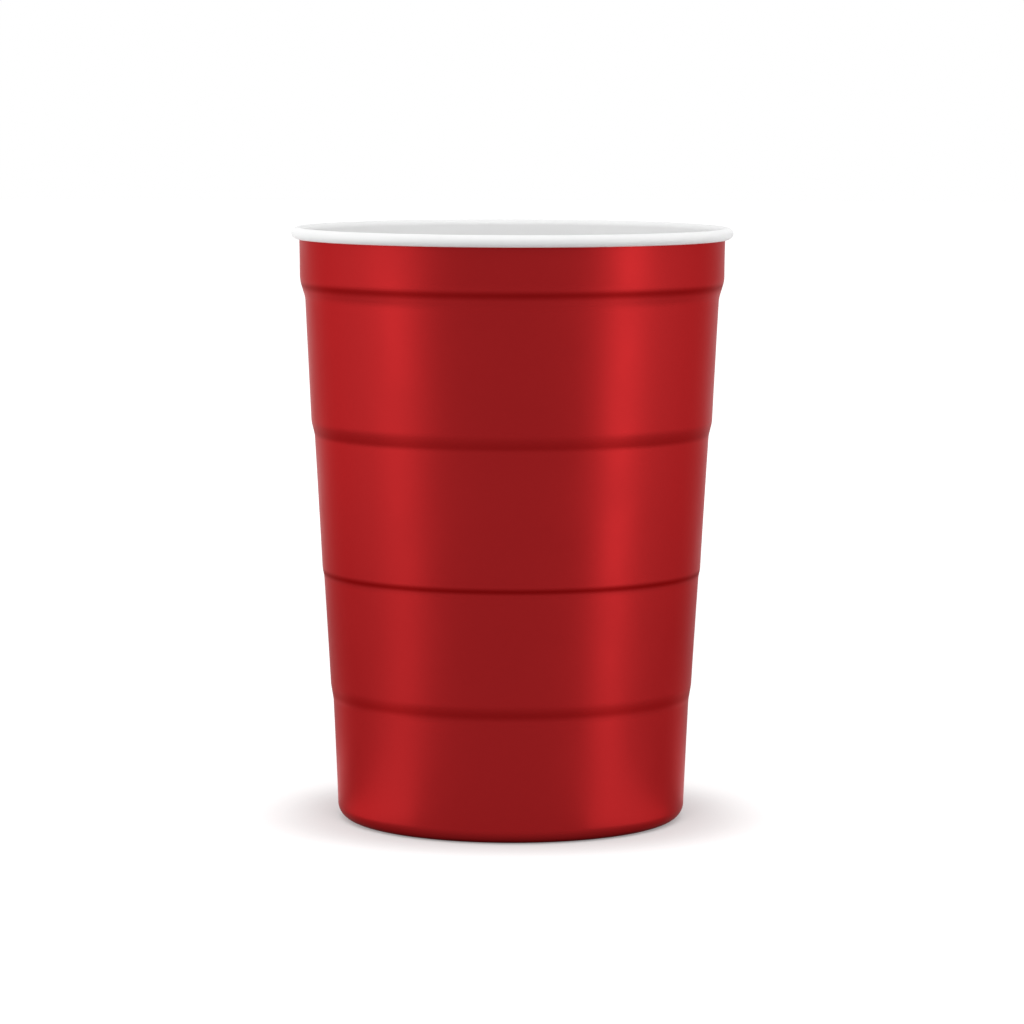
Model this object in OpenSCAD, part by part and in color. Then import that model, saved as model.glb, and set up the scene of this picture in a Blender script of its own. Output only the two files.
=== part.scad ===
// Stepped drinking cup, drawn from one sheet of steel with a rolled rim.
// Lengths are in millimetres and angles in degrees.
// The origin is the middle of the foot ring's underside, and +Z runs up the axis.

/* [Sheet] */
// Thickness of the coated sheet, the same from base to rim
sheet_t = 0.7; // [0.4:0.05:1]
// Inside radius of the bends above and below each shoulder
shoulder_bend_r = 6; // [2:0.5:8]

/* [Base] */
// Diameter at which the outside line of the wall meets the table
base_d = 70.2; // [56:0.2:90]
// Inside radius of the rounded edge between base and wall
base_edge_r = 2.3; // [1:0.1:5]
// Diameter of the flat panel raised inside the foot ring
panel_d = 54; // [30:0.5:58]
// Height of the panel's underside above the table
panel_rise = 1.2; // [0.8:0.1:2.5]
// Slope of the ring between foot and panel, from the table
panel_slope = 45; // [30:1:70]
// Inside radius of the bends at both ends of that slope
panel_bend_r = 0.8; // [0.3:0.1:1.2]

/* [Bottom band] */
// Height of the bottom band, from the table to its shoulder
bottom_band_h = 24.2; // [12:0.1:40]
// Lean of the bottom band, outwards from the axis
bottom_band_lean = 2.5; // [0.5:0.05:7]
// Height of the shoulder above the bottom band
bottom_shoulder_h = 3.1; // [1:0.05:6]
// How far that shoulder steps out
bottom_shoulder_out = 0.52; // [0.3:0.01:1.5]

/* [Second band] */
// Height of the second band, from shoulder to shoulder
second_band_h = 22.25; // [12:0.05:40]
// Lean of the second band, outwards from the axis
second_band_lean = 3.45; // [0.5:0.05:7]
// Height of the shoulder above the second band
second_shoulder_h = 1.25; // [1:0.05:6]
// How far that shoulder steps out
second_shoulder_out = 0.31; // [0.3:0.01:1.5]

/* [Third band] */
// Height of the third band, from shoulder to shoulder
third_band_h = 27.3; // [12:0.1:40]
// Lean of the third band, outwards from the axis
third_band_lean = 3.25; // [0.5:0.05:7]
// Height of the shoulder above the third band
third_shoulder_h = 2.65; // [1:0.05:6]
// How far that shoulder steps out
third_shoulder_out = 0.65; // [0.3:0.01:1.5]

/* [Fourth band] */
// Height of the fourth band, from shoulder to shoulder
fourth_band_h = 25.1; // [12:0.1:40]
// Lean of the fourth band, outwards from the axis
fourth_band_lean = 2.8; // [0.5:0.05:7]
// Height of the shoulder above the fourth band
fourth_shoulder_h = 3.45; // [1:0.05:6]
// How far that shoulder steps out
fourth_shoulder_out = 1.05; // [0.3:0.01:1.5]

/* [Collar and rim] */
// Height of the collar, from the top shoulder to the underside of the rim
collar_h = 8.35; // [4:0.05:20]
// Lean of the collar, outwards from the axis
collar_lean = 0.8; // [0:0.1:5]
// Height of the rim, which is the outside diameter of its roll
rim_roll_d = 2.35; // [2.2:0.05:4]
// Gap between the end of the rolled sheet and the collar
rim_end_gap = 0.1; // [0.05:0.05:0.3]

/* [Hidden] */

outside_coat = "firebrick";
inside_coat = "white";

// Facets of a full turn about the axis
turn_fn = 180;
// A bend has a chord for each of these angles, and never fewer than the least count
chord_angle = 5;
least_chords = 4;
roll_chords = 30;
// How far the cavity's form runs on past the plane where the rim begins
cut_past = 1;

// Each band as its height, its lean, its shoulder's height and its shoulder's step
bands = [
    [bottom_band_h, bottom_band_lean, bottom_shoulder_h, bottom_shoulder_out],
    [second_band_h, second_band_lean, second_shoulder_h, second_shoulder_out],
    [third_band_h, third_band_lean, third_shoulder_h, third_shoulder_out],
    [fourth_band_h, fourth_band_lean, fourth_shoulder_h, fourth_shoulder_out],
];

// Lower and upper corner of a band's shoulder, from the point where the band starts
function shoulder_low(start, band) = start + [band[0] * tan(band[1]), band[0]];
function shoulder_top(start, band) = shoulder_low(start, band) + [band[3], band[2]];

// Start of band number i, counted up from the table
function band_start(i) = i == 0 ? [base_d / 2, 0] : shoulder_top(band_start(i - 1), bands[i - 1]);

collar_start = band_start(len(bands));
rim_z = collar_start.y + collar_h;
roll_r = rim_roll_d / 2;
roll_z = rim_z + roll_r;

// Radius of the collar's outside face at a height
function collar_r(z) = collar_start.x + (z - collar_start.y) * tan(collar_lean);

// Centre of the roll, whose hollow touches the collar's outside face
roll_hollow_r = roll_r - sheet_t;
roll_centre = [collar_r(roll_z) + roll_hollow_r / cos(collar_lean), roll_z];
roll_start = 180 - collar_lean;
roll_end = -90;

// Corners of the sheet's underside and outside face, each with the inside radius of its bend
panel_slope_run = panel_rise / tan(panel_slope);
sheet_corners = [
    [[0, panel_rise], 0],
    [[panel_d / 2, panel_rise], panel_bend_r],
    [[panel_d / 2 + panel_slope_run, 0], panel_bend_r],
    [[base_d / 2, 0], base_edge_r],
    for (i = [0 : len(bands) - 1]) each [
        [shoulder_low(band_start(i), bands[i]), shoulder_bend_r],
        [band_start(i + 1), shoulder_bend_r],
    ],
    [[collar_r(rim_z), rim_z], 0],
];

function direction(from, to) = (to - from) / norm(to - from);
function left_of(d) = [-d.y, d.x];
function signed_turn(d1, d2) = atan2(cross(d1, d2), d1 * d2);
function arc(centre, r, from, to, chords) = [
    for (k = [0 : chords]) let (a = from + (to - from) * k / chords) centre + r * [cos(a), sin(a)]
];

// One bend of the sheet between two straight runs, on the face that lies inset from the outside.
// The radius is limited to what half of the shorter run can hold.
function bend(before, corner, after, bend_r, inset) =
    let (
        d1 = direction(before, corner),
        d2 = direction(corner, after),
        turn = signed_turn(d1, d2),
        run = min(norm(corner - before), norm(after - corner)) / 2,
        inside_r = min(bend_r, run / tan(abs(turn) / 2) - sheet_t),
        r = turn > 0 ? inside_r + sheet_t - inset : inside_r + inset,
        mid = corner + inset * (left_of(d1) + left_of(d2)) / (1 + d1 * d2),
        side = sign(turn),
        centre = mid - r * tan(abs(turn) / 2) * d1 + side * r * left_of(d1),
        from = atan2(d1.y, d1.x) - side * 90,
        chords = max(least_chords, ceil(abs(turn) / chord_angle))
    ) arc(centre, r, from, from + turn, chords);

// The whole face from the axis to the foot of the rim
function sheet_face(inset) = let (c = sheet_corners, last = len(c) - 1) [
    c[0][0] + [0, inset],
    for (i = [1 : last - 1]) each bend(c[i - 1][0], c[i][0], c[i + 1][0], c[i][1], inset),
    c[last][0] - [inset / cos(collar_lean), 0],
];

outside_face = sheet_face(0);
inside_face = sheet_face(sheet_t);
collar_rise = [tan(collar_lean), 1];

// Everything within the outside face, up to the foot of the rim
module outer_form() {
    rotate_extrude($fn = turn_fn)
        polygon(concat(outside_face, [[0, rim_z]]));
}

// Everything that the cup holds, run on past the foot of the rim
module cavity() {
    mouth = inside_face[len(inside_face) - 1] + cut_past * collar_rise;
    rotate_extrude($fn = turn_fn)
        polygon(concat(inside_face, [mouth, [0, mouth.y]]));
}

// The top of the sheet, rolled outwards and back to the collar
module rolled_rim() {
    end_r = collar_r(rim_z) + rim_end_gap;
    rotate_extrude($fn = turn_fn)
        polygon(concat(
            [inside_face[len(inside_face) - 1], outside_face[len(outside_face) - 1]],
            arc(roll_centre, roll_hollow_r, roll_start, roll_end, roll_chords),
            [[end_r, roll_z - roll_hollow_r], [end_r, rim_z]],
            arc(roll_centre, roll_r, roll_end, roll_start, roll_chords)
        ));
}

module cup() {
    difference() {
        color(outside_coat) outer_form();
        color(inside_coat) cavity();
    }
    color(inside_coat) rolled_rim();
}

cup();
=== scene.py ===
"""Looks of the stepped steel cup: its red and white coats, the pale studio and the camera."""
import math

import bpy
from mathutils import Matrix, Vector


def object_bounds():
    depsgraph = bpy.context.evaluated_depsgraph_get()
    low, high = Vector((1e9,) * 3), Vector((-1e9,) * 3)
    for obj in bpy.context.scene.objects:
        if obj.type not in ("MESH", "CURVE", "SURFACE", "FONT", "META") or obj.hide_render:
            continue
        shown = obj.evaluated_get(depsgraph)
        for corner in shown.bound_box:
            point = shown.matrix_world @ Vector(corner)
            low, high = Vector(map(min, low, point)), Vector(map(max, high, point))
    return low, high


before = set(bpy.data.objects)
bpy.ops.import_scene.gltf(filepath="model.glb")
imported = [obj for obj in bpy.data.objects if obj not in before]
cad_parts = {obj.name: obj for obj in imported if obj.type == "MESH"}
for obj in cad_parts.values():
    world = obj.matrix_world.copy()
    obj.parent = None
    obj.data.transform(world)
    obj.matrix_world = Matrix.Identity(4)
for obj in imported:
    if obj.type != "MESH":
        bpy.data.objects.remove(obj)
cad_low, cad_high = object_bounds()

# Camera, in metres and degrees, as the photograph was taken
CAMERA_DISTANCE = 0.875
CAMERA_HEIGHT = 0.1525
CAMERA_ASIDE = 0.0001
CAMERA_PITCH_DOWN = 5.892
CAMERA_ROLL = 0.151
SENSOR_WIDTH_MM = 36.0
LENS_MM = 152.35
CLIP_START = 0.01

# Cup, in metres: what the looks need to know of the solid
RIM_ROLL_H = 0.00235
RIM_Z = cad_high.z - RIM_ROLL_H

# A face is on the inside once it looks upwards by more than this share of how far it looks outwards
INSIDE_SHARE = 0.5

# Red coat, outside: a translucent red over fine metal flakes, so it is partly metallic
RED = (0.242, 0.0102, 0.0112)
RED_CLOUDED = (0.230, 0.0092, 0.0102)
RED_METALLIC = 0.85
RED_ROUGHNESS = 0.40
RED_ROUGHNESS_SPREAD = 0.03
RED_EDGE_TINT = (0.72, 0.49, 0.49)

# Painted shade in the crease at each shoulder, where the red is darker and less metallic: its height, its
# reach above and below, and its depth in parts of 1
PAINTED_CREASE_SHADES = (
    (0.1083, 0.0012, 0.0013, 0.8),
    (0.0787, 0.0028, 0.0011, 0.5),
    (0.0504, 0.0010, 0.0009, 1.0),
    (0.0257, 0.0024, 0.0014, 0.6),
)
# Painted shade: in the creases the red is multiplied by this colour, and its metallic share falls to this
PAINTED_CREASE_SHADE = (0.72, 0.30, 0.30)
PAINTED_CREASE_METALLIC = 0.45

# White coat, inside and on the rolled rim
WHITE = (0.85, 0.85, 0.85)
WHITE_CLOUDED = (0.83, 0.83, 0.83)
WHITE_ROUGHNESS = 0.35
WHITE_CLEAR_COAT = 0.20
WHITE_CLEAR_COAT_ROUGHNESS = 0.30

# Both coats
CLOUDS_PER_M = 60.0
CLOUD_DETAIL = 3.0
CLOUD_SPAN = (0.3, 0.7)
PEEL_PER_M = 700.0
PEEL_DETAIL = 2.0
PEEL_STRENGTH = 0.10
PEEL_DEPTH = 0.00004

# Studio: floor and background
LIGHT_COLOUR = (1.0, 1.0, 1.0)
FLOOR_HALF = 4.0
FLOOR_COLOUR = (0.56, 0.57, 0.57)
FLOOR_ROUGHNESS = 0.9
# The glow is lower at the foot than on the rest of the floor: a painted shadow round the foot, over the
# lamps' real one
FOOT_GLOW = 0.26
FLOOR_GLOW = 0.58
FAR_GLOW = 1.0
FOOT_GLOW_R = (0.034, 0.058)
MIRRORED_GLOW_R = (0.031, 0.040)
FAR_GLOW_R = (0.30, 0.60)
WORLD_AMBIENT = 0.27
BACKGROUND_WHITE = 1.0

# Studio: a ring of soft panels, each as its azimuth from the camera's side towards +X and its radiance
PANEL_DISTANCE = 0.35
PANEL_ARC = 30.0
PANEL_H = 0.30
PANELS = ((-150, 0.8), (-120, 0.9), (-90, 1.1), (-60, 1.2), (60, 0.9), (90, 0.8), (120, 0.6), (150, 0.5))

# Studio: a slim panel close to each side, which draws the bright streaks
STREAK_DISTANCE = 0.15
STREAK_ARC = 15.0
STREAK_H = 0.15
STREAKS = ((-60, 1.3), (57, 2.3))

# Studio: slim panels that lie on the floor and carry the side light down to the foot
LOW_STREAK_NEAR = 0.038
LOW_STREAK_FAR = 0.150
LOW_STREAK_W = 0.035
LOW_STREAK_Z = 0.001
LOW_STREAKS = ((-125, 1.0), (-64, 1.2), (54, 1.1), (125, 1.0))

# Studio: a soft box above on each side of the cup
BOX_DISTANCE = 0.45
BOX_Z = 0.60
BOX_SIZE = 0.40
BOXES = ((-90, 1.6), (0, 4.9), (90, 1.8), (180, 0.4))
BOX_AIM_Z = 0.06


def input_of(node, name):
    """The first socket of that name that is switched on, as some nodes have one for each data type."""
    return next(s for s in node.inputs if s.name == name and s.enabled)


def output_of(node, name):
    """The first output of that name that is switched on."""
    return next(s for s in node.outputs if s.name == name and s.enabled)


class Nodes:
    """A short way to add nodes to one tree and to join them."""

    def __init__(self, tree):
        self.tree = tree
        tree.nodes.clear()

    def add(self, kind, settings=None, **links):
        """A node of that kind. Each link gives a socket a value, or the output it takes one from."""
        node = self.tree.nodes.new(kind)
        for name, value in (settings or {}).items():
            setattr(node, name, value)
        for name, value in links.items():
            self.feed(input_of(node, name.replace("_", " ")), value)
        return node

    def feed(self, socket, value):
        """Joins an output to the socket, or sets the socket's own value."""
        if isinstance(value, bpy.types.NodeSocket):
            self.tree.links.new(value, socket)
        elif isinstance(value, tuple) and socket.type == "RGBA":
            socket.default_value = (*value, 1.0)
        else:
            socket.default_value = value

    def maths(self, operation, *values):
        """One step of arithmetic on numbers or outputs."""
        node = self.tree.nodes.new("ShaderNodeMath")
        node.operation = operation
        for socket, value in zip(node.inputs, values):
            self.feed(socket, value)
        return node.outputs[0]

    def mix(self, kind, factor, first, second):
        """first where factor is 0 and second where it is 1. kind is FLOAT or RGBA."""
        node = self.add("ShaderNodeMix", {"data_type": kind}, Factor=factor, A=first, B=second)
        return output_of(node, "Result")


def white_mask(n, place):
    """1 on the inside of the sheet and on the rolled rim, and 0 on the outside."""
    facing = n.add("ShaderNodeNewGeometry").outputs["True Normal"]
    flat = n.add("ShaderNodeVectorMath", {"operation": "MULTIPLY"})
    n.feed(flat.inputs[0], place)
    flat.inputs[1].default_value = (1.0, 1.0, 0.0)
    away = n.add("ShaderNodeVectorMath", {"operation": "NORMALIZE"})
    n.feed(away.inputs[0], flat.outputs["Vector"])
    outward = n.add("ShaderNodeVectorMath", {"operation": "DOT_PRODUCT"})
    n.feed(outward.inputs[0], facing)
    n.feed(outward.inputs[1], away.outputs["Vector"])

    # The inside faces the axis or upwards, and the underside of the base faces down
    upward = n.add("ShaderNodeSeparateXYZ", Vector=facing).outputs["Z"]
    side = n.maths("SUBTRACT", n.maths("MULTIPLY", outward.outputs["Value"], INSIDE_SHARE), upward)
    inside = n.maths("LESS_THAN", side, 0.0)
    height = n.add("ShaderNodeSeparateXYZ", Vector=place).outputs["Z"]
    on_rim = n.maths("GREATER_THAN", height, RIM_Z)
    return n.maths("MAXIMUM", inside, on_rim)


def ramp(n, value, span, low, high, kind="SMOOTHSTEP"):
    """low before the span, high after it, and a smooth or straight way between."""
    node = n.add("ShaderNodeMapRange", {"interpolation_type": kind}, Value=value)
    for name, number in (("From Min", span[0]), ("From Max", span[1]), ("To Min", low), ("To Max", high)):
        input_of(node, name).default_value = number
    return output_of(node, "Result")


def painted_crease_shade_mask(n, place):
    """The depth of the painted shade in the crease at each shoulder, which fades out above and below each,
    and 0 elsewhere.
    """
    height = n.add("ShaderNodeSeparateXYZ", Vector=place).outputs["Z"]
    mask = 0.0
    for crease_z, above, below, depth in PAINTED_CREASE_SHADES:
        rise = ramp(n, height, (crease_z - below, crease_z), 0.0, depth)
        fall = ramp(n, height, (crease_z, crease_z + above), depth, 0.0)
        mask = n.maths("MAXIMUM", mask, n.maths("MINIMUM", rise, fall))
    return mask


def cup_material():
    """One material for the whole sheet: red outside, white inside and on the rolled rim."""
    material = bpy.data.materials.new("coated_sheet")
    material.use_nodes = True
    n = Nodes(material.node_tree)
    place = n.add("ShaderNodeTexCoord").outputs["Object"]
    white = white_mask(n, place)
    # Painted shade at the shoulders' creases
    crease = painted_crease_shade_mask(n, place)
    cloud = n.add("ShaderNodeTexNoise", Vector=place, Scale=CLOUDS_PER_M, Detail=CLOUD_DETAIL).outputs["Fac"]

    # Red: faintly clouded, with painted shade in the creases, where it is darker and less metallic
    red = n.mix("RGBA", cloud, RED_CLOUDED, RED)
    red = output_of(n.add("ShaderNodeMix", {"data_type": "RGBA", "blend_type": "MULTIPLY"},
                          Factor=crease, A=red, B=PAINTED_CREASE_SHADE), "Result")
    red_metallic = n.mix("FLOAT", crease, RED_METALLIC, PAINTED_CREASE_METALLIC)
    red_rough = ramp(n, cloud, CLOUD_SPAN,
                     RED_ROUGHNESS - RED_ROUGHNESS_SPREAD, RED_ROUGHNESS + RED_ROUGHNESS_SPREAD)

    # White: a faintly uneven enamel
    pale = n.mix("RGBA", cloud, WHITE_CLOUDED, WHITE)

    # Orange peel of a sprayed coat
    peel = n.add("ShaderNodeTexNoise", Vector=place, Scale=PEEL_PER_M, Detail=PEEL_DETAIL).outputs["Fac"]
    bump = n.add("ShaderNodeBump", Strength=PEEL_STRENGTH, Distance=PEEL_DEPTH, Height=peel)

    # The white's gloss is its clear coat's, and the red's is its flakes'
    shader = n.add("ShaderNodeBsdfPrincipled", Normal=bump.outputs["Normal"],
                   Base_Color=n.mix("RGBA", white, red, pale),
                   Metallic=n.mix("FLOAT", white, red_metallic, 0.0),
                   Roughness=n.mix("FLOAT", white, red_rough, WHITE_ROUGHNESS),
                   Specular_IOR_Level=0.0,
                   Specular_Tint=RED_EDGE_TINT,
                   Coat_Weight=n.maths("MULTIPLY", white, WHITE_CLEAR_COAT),
                   Coat_Roughness=WHITE_CLEAR_COAT_ROUGHNESS)
    n.add("ShaderNodeOutputMaterial", Surface=shader.outputs["BSDF"])
    return material


def seen_white(n):
    """1 for the rays that show the background: straight, mirrored and refracted ones."""
    path = n.add("ShaderNodeLightPath").outputs
    both = n.maths("MAXIMUM", path["Is Camera Ray"], path["Is Glossy Ray"])
    return n.maths("MAXIMUM", both, path["Is Transmission Ray"])


def make_floor():
    """A wide pale floor that keeps the cup's shadow, with a painted shadow round the foot over it."""
    mesh = bpy.data.meshes.new("floor")
    corners = [(x * FLOOR_HALF, y * FLOOR_HALF, 0.0) for x, y in ((-1, -1), (1, -1), (1, 1), (-1, 1))]
    mesh.from_pydata(corners, [], [(0, 1, 2, 3)])
    floor = bpy.data.objects.new("floor", mesh)
    bpy.context.scene.collection.objects.link(floor)
    material = bpy.data.materials.new("floor_paper")
    material.use_nodes = True
    n = Nodes(material.node_tree)

    # The paper glows for the rays that show the background. The camera sees it dimmed round the foot,
    # and reflections see it dimmed under the foot: a painted shadow there, over the real one
    place = n.add("ShaderNodeTexCoord").outputs["Object"]
    away = n.add("ShaderNodeVectorMath", {"operation": "LENGTH"}, Vector=place).outputs["Value"]
    seen = ramp(n, away, FOOT_GLOW_R, FOOT_GLOW, FLOOR_GLOW)
    mirrored = ramp(n, away, MIRRORED_GLOW_R, 0.0, FLOOR_GLOW)
    near = n.mix("FLOAT", n.add("ShaderNodeLightPath").outputs["Is Camera Ray"], mirrored, seen)
    far = ramp(n, away, FAR_GLOW_R, 0.0, FAR_GLOW - FLOOR_GLOW, "LINEAR")
    glow = n.maths("MULTIPLY", seen_white(n), n.maths("ADD", near, far))
    shader = n.add("ShaderNodeBsdfPrincipled", Base_Color=FLOOR_COLOUR, Roughness=FLOOR_ROUGHNESS,
                   Specular_IOR_Level=0.0, Emission_Color=LIGHT_COLOUR, Emission_Strength=glow)
    n.add("ShaderNodeOutputMaterial", Surface=shader.outputs["BSDF"])
    mesh.materials.append(material)


def make_world():
    """White wherever the background shows, and a dimmer even light on everything else."""
    world = bpy.data.worlds.new("studio")
    bpy.context.scene.world = world
    world.use_nodes = True
    n = Nodes(world.node_tree)
    strength = n.mix("FLOAT", seen_white(n), WORLD_AMBIENT, BACKGROUND_WHITE)
    background = n.add("ShaderNodeBackground", Color=LIGHT_COLOUR, Strength=strength)
    n.add("ShaderNodeOutputWorld", Surface=background.outputs["Background"])


def soft_panel(name, azimuth, distance, centre_z, width, height, radiance):
    """A flat soft lamp at an azimuth, counted from the camera's side towards +X, not yet turned."""
    light = bpy.data.lights.new(name, "AREA")
    light.shape = "RECTANGLE"
    light.size = width
    light.size_y = height
    light.energy = radiance * math.pi * width * height
    lamp = bpy.data.objects.new(name, light)
    bpy.context.scene.collection.objects.link(lamp)
    angle = math.radians(azimuth)
    lamp.location = (distance * math.sin(angle), -distance * math.cos(angle), centre_z)
    lamp.visible_camera = False
    return lamp


def face_axis(lamp, aim_z):
    """Turns a lamp towards the cup's axis at a height."""
    towards = Vector((0.0, 0.0, aim_z)) - lamp.location
    lamp.rotation_euler = towards.to_track_quat("-Z", "Y").to_euler()


def standing_panels(name, panels, distance, arc, height):
    """Panels that stand on the floor, each as wide as its arc at that distance."""
    width = 2 * distance * math.tan(math.radians(arc / 2))
    lamps = []
    for azimuth, radiance in panels:
        lamp = soft_panel(f"{name}{azimuth:+04d}", azimuth, distance, height / 2, width, height, radiance)
        face_axis(lamp, height / 2)
        lamps.append(lamp)
    return lamps


def lying_panels(name, panels, near, far, width, height):
    """Panels that lie face up just above the floor and run straight away from the cup."""
    middle = (near + far) / 2
    for azimuth, radiance in panels:
        lamp = soft_panel(f"{name}{azimuth:+04d}", azimuth, middle, height, width, far - near, radiance)
        lamp.rotation_euler = (math.pi, 0.0, math.radians(azimuth))


def make_lamps():
    """Soft light from both sides and from above, with a brighter streak on each side."""
    standing_panels("panel", PANELS, PANEL_DISTANCE, PANEL_ARC, PANEL_H)
    lying_panels("low_streak", LOW_STREAKS, LOW_STREAK_NEAR, LOW_STREAK_FAR, LOW_STREAK_W, LOW_STREAK_Z)

    # The standing streaks show in gloss alone, so that they don't bleach the white rim
    for lamp in standing_panels("streak", STREAKS, STREAK_DISTANCE, STREAK_ARC, STREAK_H):
        lamp.visible_diffuse = False
    for azimuth, radiance in BOXES:
        lamp = soft_panel(f"box{azimuth:+04d}", azimuth, BOX_DISTANCE, BOX_Z, BOX_SIZE, BOX_SIZE, radiance)
        face_axis(lamp, BOX_AIM_Z)


def make_camera():
    """The camera at the photograph's place and angle."""
    data = bpy.data.cameras.new("camera")
    data.sensor_width = SENSOR_WIDTH_MM
    data.lens = LENS_MM
    data.clip_start = CLIP_START
    camera = bpy.data.objects.new("camera", data)
    bpy.context.scene.collection.objects.link(camera)
    place = Matrix.Translation((CAMERA_ASIDE, -CAMERA_DISTANCE, CAMERA_HEIGHT))
    tilt = Matrix.Rotation(math.radians(90.0 - CAMERA_PITCH_DOWN), 4, "X")
    roll = Matrix.Rotation(math.radians(CAMERA_ROLL), 4, "Z")
    camera.matrix_world = place @ tilt @ roll
    bpy.context.scene.camera = camera


def dress(node, material):
    """Gives a CAD node its material."""
    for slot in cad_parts[node].material_slots:
        slot.material = material


dress("cup", cup_material())
make_floor()
make_world()
make_lamps()
make_camera()

bpy.context.scene.view_settings.view_transform = "Standard"
